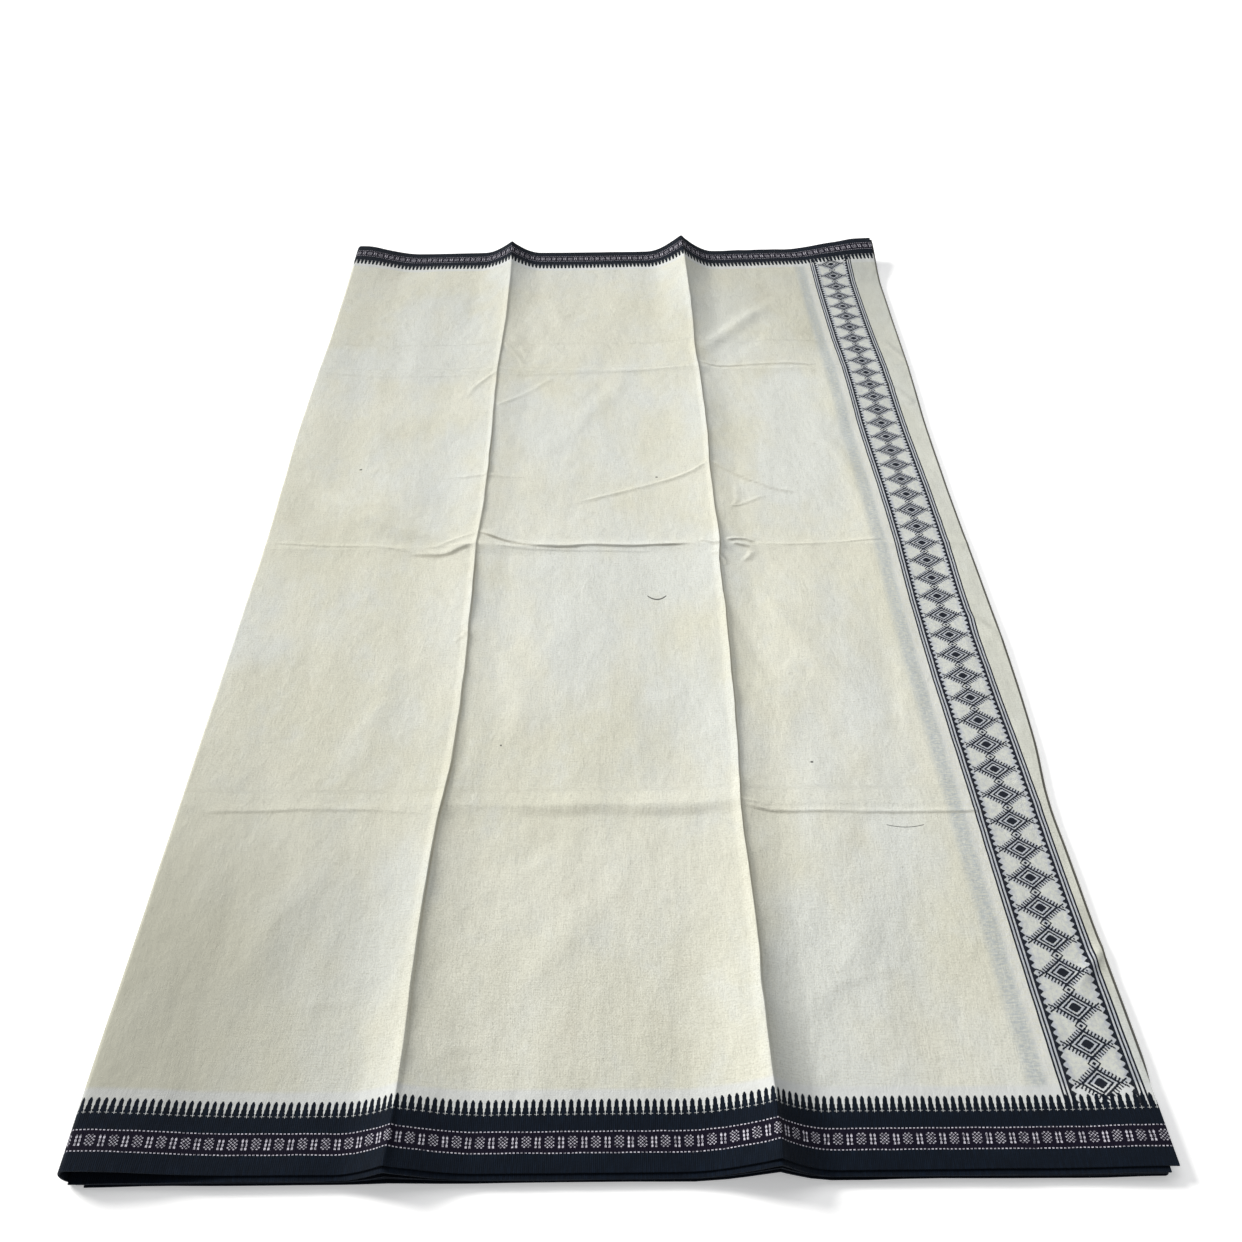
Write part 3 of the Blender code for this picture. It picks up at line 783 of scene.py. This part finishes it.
# Colours, linear
CREAM = (0.640, 0.632, 0.522)
CREAM_PALE = (0.700, 0.698, 0.612)
CREAM_WARM = (0.640, 0.600, 0.480)
CREAM_COOL = (0.655, 0.683, 0.672)
WHITE = (0.640, 0.656, 0.654)
BLUISH = (0.400, 0.440, 0.460)
BAND_COOL = (0.420, 0.445, 0.495)
BAND_PALE = (0.590, 0.605, 0.555)
BEIGE = (0.300, 0.265, 0.180)
NAVY = (0.0016, 0.0042, 0.0094)
INK = (0.0034, 0.0056, 0.0130)
PLUM = (0.0048, 0.0036, 0.0120)
DOT = (0.660, 0.640, 0.720)
SHADOWED = (0.070, 0.064, 0.056)
HAIR = (0.020, 0.022, 0.020)

# Loose fibres and specks: along the loom, across it, half length, half thickness, sag
FIBRES = (
    (0.0590, 0.5400, 0.0092, 0.00090, 0.0052),
    (0.2530, 0.2650, 0.0150, 0.00035, 0.0024),
    (-0.2640, 0.7560, 0.0013, 0.00110, 0.0),
    (0.0640, 0.7380, 0.0012, 0.00100, 0.0),
    (0.1870, 0.3330, 0.0011, 0.00100, 0.0),
    (-0.0800, 0.3560, 0.0008, 0.00080, 0.0))

THREAD = 0.00050           # pitch of the weave
RIB_PITCH = 0.00126        # and of the border's ribs

# The border's pattern, in metres from the selvedge or along it
SELVEDGE_PLAIN = 0.0126    # selvedge to the first dotted line
STRIPE_WIDE = 0.0136       # between the two dotted lines
LINE_HALF = 0.00042        # half a dotted line
MOTIF_PITCH = 0.01512      # one rosette and two bars
MOTIF_CELLS = 12           # threads across them
MOTIF_ROWS, MOTIF_ROW = 7, 0.00108
TEETH_FOOT = 0.0375
TEETH_TALL = 0.0100
TEETH_PITCH = 0.00504
TOOTH_HALF, TOOTH_STEP, TOOTH_TIP = 0.00220, 0.00042, 0.00090
WHITE_TO = 0.0540
BORDER_WEAVE = (0.00042, 0.00036)   # the steps that its figures are drawn in

# The end band's pattern, in millimetres from its middle line and from the middle of a diamond
BAND_HALF = 0.0278         # in metres, as are the next three
DIAMOND_PITCH = 0.0270
DIAMOND_FIRST = 0.0545
BAND_WEAVE = 0.00045
BAND_LINES = ((26.6, 27.8), (23.9, 25.4), (20.9, 22.4))
SIDE_TOOTH, SIDE_TEETH_FROM, SIDE_TEETH_TO = 5.64, 17.9, 21.1
CORE, RING, DIAMOND, KNOT = (5.0, 4.2), (9.1, 7.5), (13.3, 10.2), (4.6, 4.2)
SLANT = (0.609, 0.794)     # the way that a diamond's side faces
TICK_PITCH, TICK_LONG, TICKS_OUT = 2.35, 3.1, 17.2


def woven(number, pitch):
    """A distance in whole threads, which gives patterns the stepped edge of a weave."""
    return ((number / pitch).whole() + 0.5) * pitch


def border_pattern(s, w):
    """Masks of the selvedge border: dark ground, plum stripe, pale dots."""
    foot = TEETH_FOOT
    dark = w < foot
    stripe = w.between(SELVEDGE_PLAIN, SELVEDGE_PLAIN + STRIPE_WIDE)
    cell = (s / MOTIF_PITCH).part() * MOTIF_CELLS
    middle = SELVEDGE_PLAIN + STRIPE_WIDE / 2 + 0.0002
    level = (w - middle) / MOTIF_ROW + MOTIF_ROWS / 2
    column, row = cell.whole(), level.whole()
    odd = ((column + row) * 0.5).part() > 0.25
    off_x, off_y = cell.part() - 0.5, level.part() - 0.5
    spot = (off_x * off_x + off_y * off_y) < 0.15
    rosette = odd * spot * (cell < 5.0) * level.between(0.0, MOTIF_ROWS)
    waist = (level * (math.pi * 6 / MOTIF_ROWS)).sine() * 0.09 + 0.34
    bars = (((cell - 7.5).size().least((cell - 9.5).size())) < waist) * level.between(0.15, 6.85)
    step = (((cell - 2.5) / 2.0 + 100.5).part() - 0.5).size() < 0.25
    lines = w.near(SELVEDGE_PLAIN, LINE_HALF).most(w.near(SELVEDGE_PLAIN + STRIPE_WIDE, LINE_HALF))
    across = (((s + 0.00101) / TEETH_PITCH).part() - 0.5).size() * TEETH_PITCH
    up = (w - foot) / TEETH_TALL
    half = TOOTH_HALF - ((up > 0.22) + (up > 0.46)) * TOOTH_STEP - up.soft(0.78, 1.04) * TOOTH_TIP
    teeth = (across < half) * w.between(foot, foot + TEETH_TALL)
    seam = w.near(foot, 0.00022) * (across > 0.0010)
    nick = (across > 0.00225) * w.between(foot - 0.0009, foot + 0.0014)
    pale = rosette.most(bars).most(step * lines)
    return dark.most(teeth), stripe, pale, (seam * 0.8).most(nick)


def band_pattern(u, v):
    """Masks of the end band: its dark figure, its whole width, and the open ground."""
    a = u.size() * 1000.0
    inside = a < BAND_HALF * 1000
    first, second, third = (a.between(*line) for line in BAND_LINES)
    lines = first.most(second).most(third)
    tri = ((v / (SIDE_TOOTH / 1000)).part() - 0.5).size() * SIDE_TOOTH
    teeth = (tri < (a - SIDE_TEETH_FROM) * 0.85) * a.between(SIDE_TEETH_FROM, SIDE_TEETH_TO)
    b = (((v - DIAMOND_FIRST) / DIAMOND_PITCH + 100.5).part() - 0.5).size() * (DIAMOND_PITCH * 1000)

    def reach(size):
        """How far out a point is in a diamond of this half width and half height."""
        return a / size[0] + b / size[1]
    far = v.soft(0.55, 1.10)
    core = (reach(CORE) < 1.0) * (a < 4.3) * (b < 3.5)
    ring = reach(RING).between(0.76, 1.0)
    whole = reach(DIAMOND)
    outer = whole.between(0.83, 1.02).most(whole.between(0.79, 1.02) * far)
    small = a / KNOT[0] + (DIAMOND_PITCH * 500 - b) / KNOT[1]
    knot = small.between(0.72, 1.03).most(small < 0.36)
    away = a * SLANT[0] + b * SLANT[1] - 8.10
    run = b * SLANT[0] - a * SLANT[1] + 40.0
    ticks = ((run / TICK_PITCH).part() < 0.48) * away.between(0.0, TICK_LONG)
    ticks = ticks * (small > 1.0) * (a < TICKS_OUT) * (1.0 - far * 0.45)
    arm = (b - (a - 13.2) * 0.62).size() < 0.70
    fork = (arm * a.between(13.0, 18.0)).most(((a - 16.8).size() + b) < 1.0)
    figure = core.most(ring).most(outer).most(knot).most(ticks).most(fork)
    plain = (whole - 1.0).soft(0.05, 0.70) * (1.0 - a.soft(14.0, 20.0))
    return inside * lines.most(teeth).most(figure), inside, plain


def stray_fibres(s, v):
    """Mask of the few loose fibres and specks that lie on the cloth."""
    mask = None
    for x, y, half, thick, sag in FIBRES:
        along_it = (s - x) / half
        off = (v - y - (along_it * along_it) * sag).size()
        spot = (off < thick) * (along_it.size() < 1.0)
        mask = spot if mask is None else mask.most(spot)
    return mask


def cloth_material(name, border=True, band=True, shade=1.0):
    """The cloth: cream ground, and the woven zones that a piece reaches."""
    paint = Paint(name)
    _, s, v = paint.maps["Cloth"]
    _, u, _ = paint.maps["Band"]
    sway = paint.noise(60.0, 1.0)
    w = v.least(LOOM_WIDTH - v)
    w_wavy = w + (sway - 0.5) * 0.0008
    s_wavy = s + (paint.noise(90.0, 1.0, shift=3.0) - 0.5) * 0.0008

    slub_x = paint.noise(1.0, 3.0, 0.65, (80.0, 1300.0))
    slub_y = paint.noise(1.0, 3.0, 0.65, (1300.0, 80.0), 5.0)
    grain = paint.noise(760.0, 3.0, 0.75, (0.8, 1.0), 15.0)
    cloud = paint.noise(6.0, 3.0, 0.55, shift=2.0)
    blot = paint.noise(26.0, 5.0, 0.66, (1.0, 0.7), 8.0)
    fine = paint.noise(420.0, 2.0, 0.7, shift=9.0)
    # painted sheen: bluish patches at random over the cloth
    painted_sheen = paint.noise(7.5, 4.0, 0.58, (1.0, 0.55), 31.0)

    # share gives a darker or lighter tone; shade below 1 darkens the whole material as painted shade
    def shaded(colour, share=1.0):
        return tuple(c * shade * share for c in colour)
    streaks = slub_x + slub_y - 0.5
    # Painted shade: the cloth is darkened towards its near-left corner and towards its far-right corner
    painted_corner_shade = (1.0 - s.soft(-0.34, -0.09)) * (1.0 - v.soft(0.12, 0.44))
    painted_corner_shade = painted_corner_shade.most(s.soft(0.10, 0.20) * v.soft(0.90, 1.20) * 0.55)
    ground = shaded(CREAM)
    for tone, share in (
            (shaded(CREAM_PALE), cloud.soft(0.30, 0.72)),
            (shaded(CREAM_WARM), blot.soft(0.50, 0.80) * 0.40),
            (shaded(CREAM_COOL), (1.0 - blot.soft(0.30, 0.50)) * 0.40),
            (shaded(CREAM_COOL), (1.0 - painted_sheen.soft(0.36, 0.54)) * 0.75),
            (shaded(CREAM, 0.70), streaks.soft(0.46, 0.86) * 0.60),
            (shaded(CREAM_PALE, 1.10), (1.0 - streaks.soft(0.18, 0.50)) * 0.45),
            (shaded(CREAM, 0.74), grain.soft(0.48, 0.68) * 0.52),
            (shaded(CREAM_PALE, 1.06), (1.0 - grain.soft(0.32, 0.52)) * 0.50),
            (BEIGE, fine.soft(0.60, 0.85) * 0.16),
            (shaded(CREAM, 0.72), painted_corner_shade * 0.9)):
        ground = paint.mix(ground, tone, share)

    if band:
        thin = paint.noise(1.0, 2.0, 0.6, (220.0, 700.0), 12.0)
        strip = u.soft(-0.0400, -0.0350) * (u < 0.0)
        veil = u.soft(-0.0530, -0.0440) * (1.0 - u.soft(-0.0390, -0.0330))
        ground = paint.mix(ground, WHITE, strip * (thin.soft(0.25, 0.65) * 0.6 + 0.10))
        ground = paint.mix(ground, BLUISH, veil * (thin.soft(0.35, 0.65) * 0.55 + 0.30))
        ground = paint.mix(ground, BLUISH, (u > BAND_HALF) * (blot * 0.40 + 0.06))
        u_wavy = u + (sway - 0.5) * 0.0006
        ink, inside, plain = band_pattern(woven(u_wavy, BAND_WEAVE), woven(v, BAND_WEAVE))
        speckle = paint.noise(330.0, 2.0, 0.6, shift=7.0).soft(0.30, 0.70)
        share = (speckle - 0.5) * 0.8 + 0.12 + plain * 0.75
        mottled = paint.mix(BAND_COOL, BAND_PALE, share.held())
        ground = paint.mix(ground, mottled, inside)
        ink = ink * (w > TEETH_FOOT)
        raised = ink
    colour = ground
    if border:
        to_white = 1.0 - w_wavy.soft(WHITE_TO - 0.0020, WHITE_TO + 0.0020)
        # the white strip is darkened by the same painted corner shade
        colour = paint.mix(colour, paint.mix(WHITE, shaded(WHITE, 0.82), painted_corner_shade), to_white * 0.80)
    if band:
        colour = paint.mix(colour, INK, ink * 0.98)
        colour = paint.mix(colour, HAIR, stray_fibres(s, v) * 0.85)
    if border:
        dark, stripe, pale, seam = border_pattern(
            woven(s_wavy, BORDER_WEAVE[0]), woven(w_wavy, BORDER_WEAVE[1]))
        deep = paint.mix(NAVY, tuple(c * 2.2 for c in NAVY), slub_y.soft(0.4, 0.7))
        deep = paint.mix(deep, PLUM, stripe)
        colour = paint.mix(colour, deep, dark)
        colour = paint.mix(colour, DOT, pale * paint.noise(500.0, 1.0, shift=4.0).soft(0.2, 0.6))
        colour = paint.mix(colour, WHITE, seam * 0.75)
        raised = raised.most(dark) if band else dark
    node = paint.tree.nodes.new("ShaderNodeAttribute")
    node.attribute_name = "PaintedShade"
    painted_shade_mask = Num(paint.tree, node.outputs["Fac"])
    if band:
        # painted shade: beige darkens the narrow valleys of the pressed lines and tucks
        colour = paint.mix(colour, BEIGE, painted_shade_mask * (w > WHITE_TO) * 0.55)
    else:
        # painted shadow on the layers beneath, where the mask is set
        colour = paint.mix(colour, SHADOWED, painted_shade_mask * 0.80)
    paint.tree.links.new(colour, paint.shader.inputs["Base Color"])

    rough = 0.84 + fine * 0.14
    paint.tree.links.new(rough.socket, paint.shader.inputs["Roughness"])
    over = (s * (math.pi / THREAD)).sine() * (v * (math.pi / THREAD)).sine()
    normal = paint.bump(over * 0.5 + slub_x + slub_y + grain, 0.00020)
    if border:
        rib = (s * (2 * math.pi / RIB_PITCH)).sine()
        normal = paint.bump(rib * (w < TEETH_FOOT), 0.00010, 0.8, normal)
    normal = paint.bump(raised, 0.00018, 0.6, normal)
    pucker = paint.noise(70.0, 4.0, 0.6, (1.0, 0.65), 6.0)
    normal = paint.bump(pucker, 0.0018, 0.60, normal)
    rumple = paint.noise(17.0, 3.0, 0.52, (1.3, 0.5), 17.0)
    normal = paint.bump(rumple, 0.0050, 0.42, normal)
    paint.tree.links.new(normal, paint.shader.inputs["Normal"])
    paint.shader.inputs["Sheen Weight"].default_value = 0.03
    paint.shader.inputs["Sheen Roughness"].default_value = 0.5
    paint.shader.inputs["Specular IOR Level"].default_value = 0.12
    return paint.material


# Pieces


def dress(piece, node, material):
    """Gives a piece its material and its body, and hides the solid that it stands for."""
    piece.data.materials.append(material)
    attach(piece, "root")
    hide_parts(node)


rows, near_end, far_start = row_depths(1.0)
outer, inward, crevice_shades, band_start, band_end = top_grid(rows)
facing = normals(outer)
maps = cloth_maps(outer, rows)
everything = slice(None)
middle = slice(near_end, far_start + 1)
cream = cloth_material("cream_cotton", border=False)
edged = cloth_material("edged_cotton")

# node, rows, columns, slot, strips of its map
ZONES = (
    ("border_near", slice(0, near_end + 1), everything, "border_weave", 4),
    ("border_far", slice(far_start, None), everything, "border_weave", 4),
    ("field", middle, slice(0, band_start + 1), "cream_cotton", 1),
    ("end_band", middle, slice(band_start, band_end + 1), "band_weave", 5),
    ("end_margin", middle, slice(band_end, None), "cream_cotton", 8))
for name, across, along_x, slot, strips in ZONES:
    zone_maps = {key: value[across, along_x] for key, value in maps.items()}
    piece = shell(name + "_cloth", outer[across, along_x], facing[across, along_x], WALL, zone_maps,
                  inward=inward[across, along_x], marks=crevice_shades[across, along_x], strips=strips)
    dress(piece, name, edged if slot == "border_weave" else cream)


def beneath_grid(rows, finer):
    """The stack's surface without the top stretch's loft, for what lies under it."""
    places = columns(rows, finer)[0]
    inside = BENEATH_IN * (1.0 - smooth(rows / BENEATH_TAPER))
    end = places[:, -1:]
    moved = (BENEATH_OUT * smooth(rows / BENEATH_TAPER) - inside)[:, None]
    places = places + moved * np.clip((places - end) / BENEATH_EASE + 1.0, 0.0, 1.0)
    depth = np.broadcast_to(rows[:, None], places.shape)
    slipped = 1 - smooth(depth / SLIP_OVER) + smooth((depth - 1 + SLIP_OVER) / SLIP_OVER)
    height = STACK + stack_lift(places, depth) + relief(places, depth)
    return np.stack([places, laid_y(depth) - SLIP * slipped, height], axis=2), depth


low_rows = row_depths(0.5)[0]
surface, depth = beneath_grid(low_rows, 0.5)
lowered = surface - normals(surface) * (WALL + GAP)
# the layers beneath take a copy of the cloth 10% darker: painted shade
under_cloth = cloth_material("under_cotton", band=False, shade=0.9)
cut_end = along(OUTLINES, low_rows)[4][:, None]
# Painted shadow: the stretch beneath is darkened where it shows past the top's cut end
overhung_shade = smooth((surface[:, :, 0] - cut_end) / SHADE_WIDE + 1.0)
second = shell("stretch_beneath_cloth", lowered, normals(surface), WALL, cloth_maps(lowered, low_rows),
               marks=overhung_shade)
dress(second, "stretch_beneath", under_cloth)


def hidden_grid(rows, finer):
    """The middle of the hidden layers' cloth, which runs to and fro from the top to the floor."""
    surface, depth = beneath_grid(rows, finer)
    top = surface - normals(surface) * 2 * (WALL + GAP)
    top[:, 0, 0] += CORE_SET_BACK
    base = top.copy()
    base[:, :, 2] = hollow_lift(surface[:, :, 0], depth)
    turns = np.radians((60, 30, 0, -30, -60))
    share = np.linspace(0, 1, top.shape[1])[None, :]
    near_part, far_part = 1 - smooth(depth / 0.05), smooth((depth - 0.95) / 0.05)
    left_part, right_part = 1 - smooth(share / 0.1), smooth((share - 0.93) / 0.07)
    layers = []
    for k, (near, right, far, left) in enumerate(LIPS):
        grid = base + (top - base) * (k + 0.5) / len(LIPS)
        wave = LAYER_WAVE * rolling(grid[:, :, 0] + k, grid[:, :, 1], 0.05, 40 + k)
        grid[:, :, 1] += (near + LAYER_WAVE) * near_part - (far + LAYER_WAVE) * far_part + wave
        grid[:, :, 0] += left * left_part - (right + 0.0006) * right_part
        layers.append(grid)
    runs = []
    for k in range(len(LIPS) - 1, -1, -1):
        grid = layers[k]
        rightward = (len(LIPS) - 1 - k) % 2 == 0
        runs.append(grid if rightward else grid[:, ::-1])
        if k:
            below = layers[k - 1]
            side = -1 if rightward else 0
            centre = (grid[:, side] + below[:, side]) / 2
            reach = np.linalg.norm(grid[:, side] - below[:, side], axis=1) / 2
            for turn in turns:
                bend = centre + (grid[:, side] - centre) * math.sin(turn)
                bend[:, 0] += reach * math.cos(turn) * (1 if rightward else -1)
                runs.append(bend[:, None])
    return np.concatenate(runs, axis=1)


core_rows = row_depths(0.34)[0]
core = hidden_grid(core_rows, 0.25)
core_facing = normals(core)
core_maps = cloth_maps(core, core_rows)
core_maps["Cloth"][:, :, 0] = core[:, :, 0]
hidden = shell("hidden_layers_cloth", core + core_facing * WALL / 2, core_facing, WALL, core_maps,
               coarse=False)
dress(hidden, "hidden_layers", under_cloth)

# Floor, light and camera

floor_mesh = bpy.data.meshes.new("floor")
floor_mesh.from_pydata([(-6, -6, 0), (6, -6, 0), (6, 10, 0), (-6, 10, 0)], [], [(0, 1, 2, 3)])
floor = placed("floor", floor_mesh)
floor.location.z = -0.0002
pale = bpy.data.materials.new("pale_floor")
pale.use_nodes = True
for socket, value in (
        ("Base Color", (0.97, 0.97, 0.97, 1)),
        ("Emission Color", (1, 1, 1, 1)),
        ("Emission Strength", 0.32),
        ("Roughness", 0.9),
        ("Specular IOR Level", 0.1)):
    pale.node_tree.nodes["Principled BSDF"].inputs[socket].default_value = value
floor_mesh.materials.append(pale)

SUN_POWER, SUN_FROM = 4.0, (-0.74, 0.48, 0.47)
LAMP_POWER, LAMP_AT = 4.3, (0.08, 0.02, 1.02)
SKY_POWER = 0.30
world = bpy.data.worlds.new("studio")
world.use_nodes = True
world.node_tree.nodes["Background"].inputs[0].default_value = (0.97, 0.985, 1.0, 1)
world.node_tree.nodes["Background"].inputs[1].default_value = SKY_POWER
bpy.context.scene.world = world

sun = bpy.data.lights.new("window", "SUN")
sun.energy, sun.angle, sun.color = SUN_POWER, math.radians(20), (1.0, 0.985, 0.955)
window = placed("window", sun)
window.rotation_euler = Vector(SUN_FROM).to_track_quat("Z", "Y").to_euler()
panel = bpy.data.lights.new("panel", "AREA")
panel.shape, panel.size, panel.energy = "SQUARE", 0.9, LAMP_POWER
placed("panel", panel).location = LAMP_AT

# Worked out from the cloth's four corners in the photo
CAMERA_AT = (0.00526 - CENTRED, -0.95353, 0.78930)
PITCH, YAW, ROLL = 0.75528, -0.00169, -0.01175
FOCAL_PIXELS, PHOTO_PIXELS = 1200, 1242
ahead = Vector((math.sin(YAW) * math.cos(PITCH), math.cos(YAW) * math.cos(PITCH), -math.sin(PITCH)))
level = Vector((math.cos(YAW), -math.sin(YAW), 0))
upward = level.cross(ahead)
right = math.cos(ROLL) * level + math.sin(ROLL) * upward
top = -math.sin(ROLL) * level + math.cos(ROLL) * upward
camera_data = bpy.data.cameras.new("camera")
camera_data.lens = camera_data.sensor_width * FOCAL_PIXELS / PHOTO_PIXELS
camera = placed("camera", camera_data)
camera.matrix_world = Matrix((
    (right.x, top.x, -ahead.x, CAMERA_AT[0]),
    (right.y, top.y, -ahead.y, CAMERA_AT[1]),
    (right.z, top.z, -ahead.z, CAMERA_AT[2]),
    (0, 0, 0, 1)))
bpy.context.scene.camera = camera
bpy.context.scene.view_settings.view_transform = "Standard"
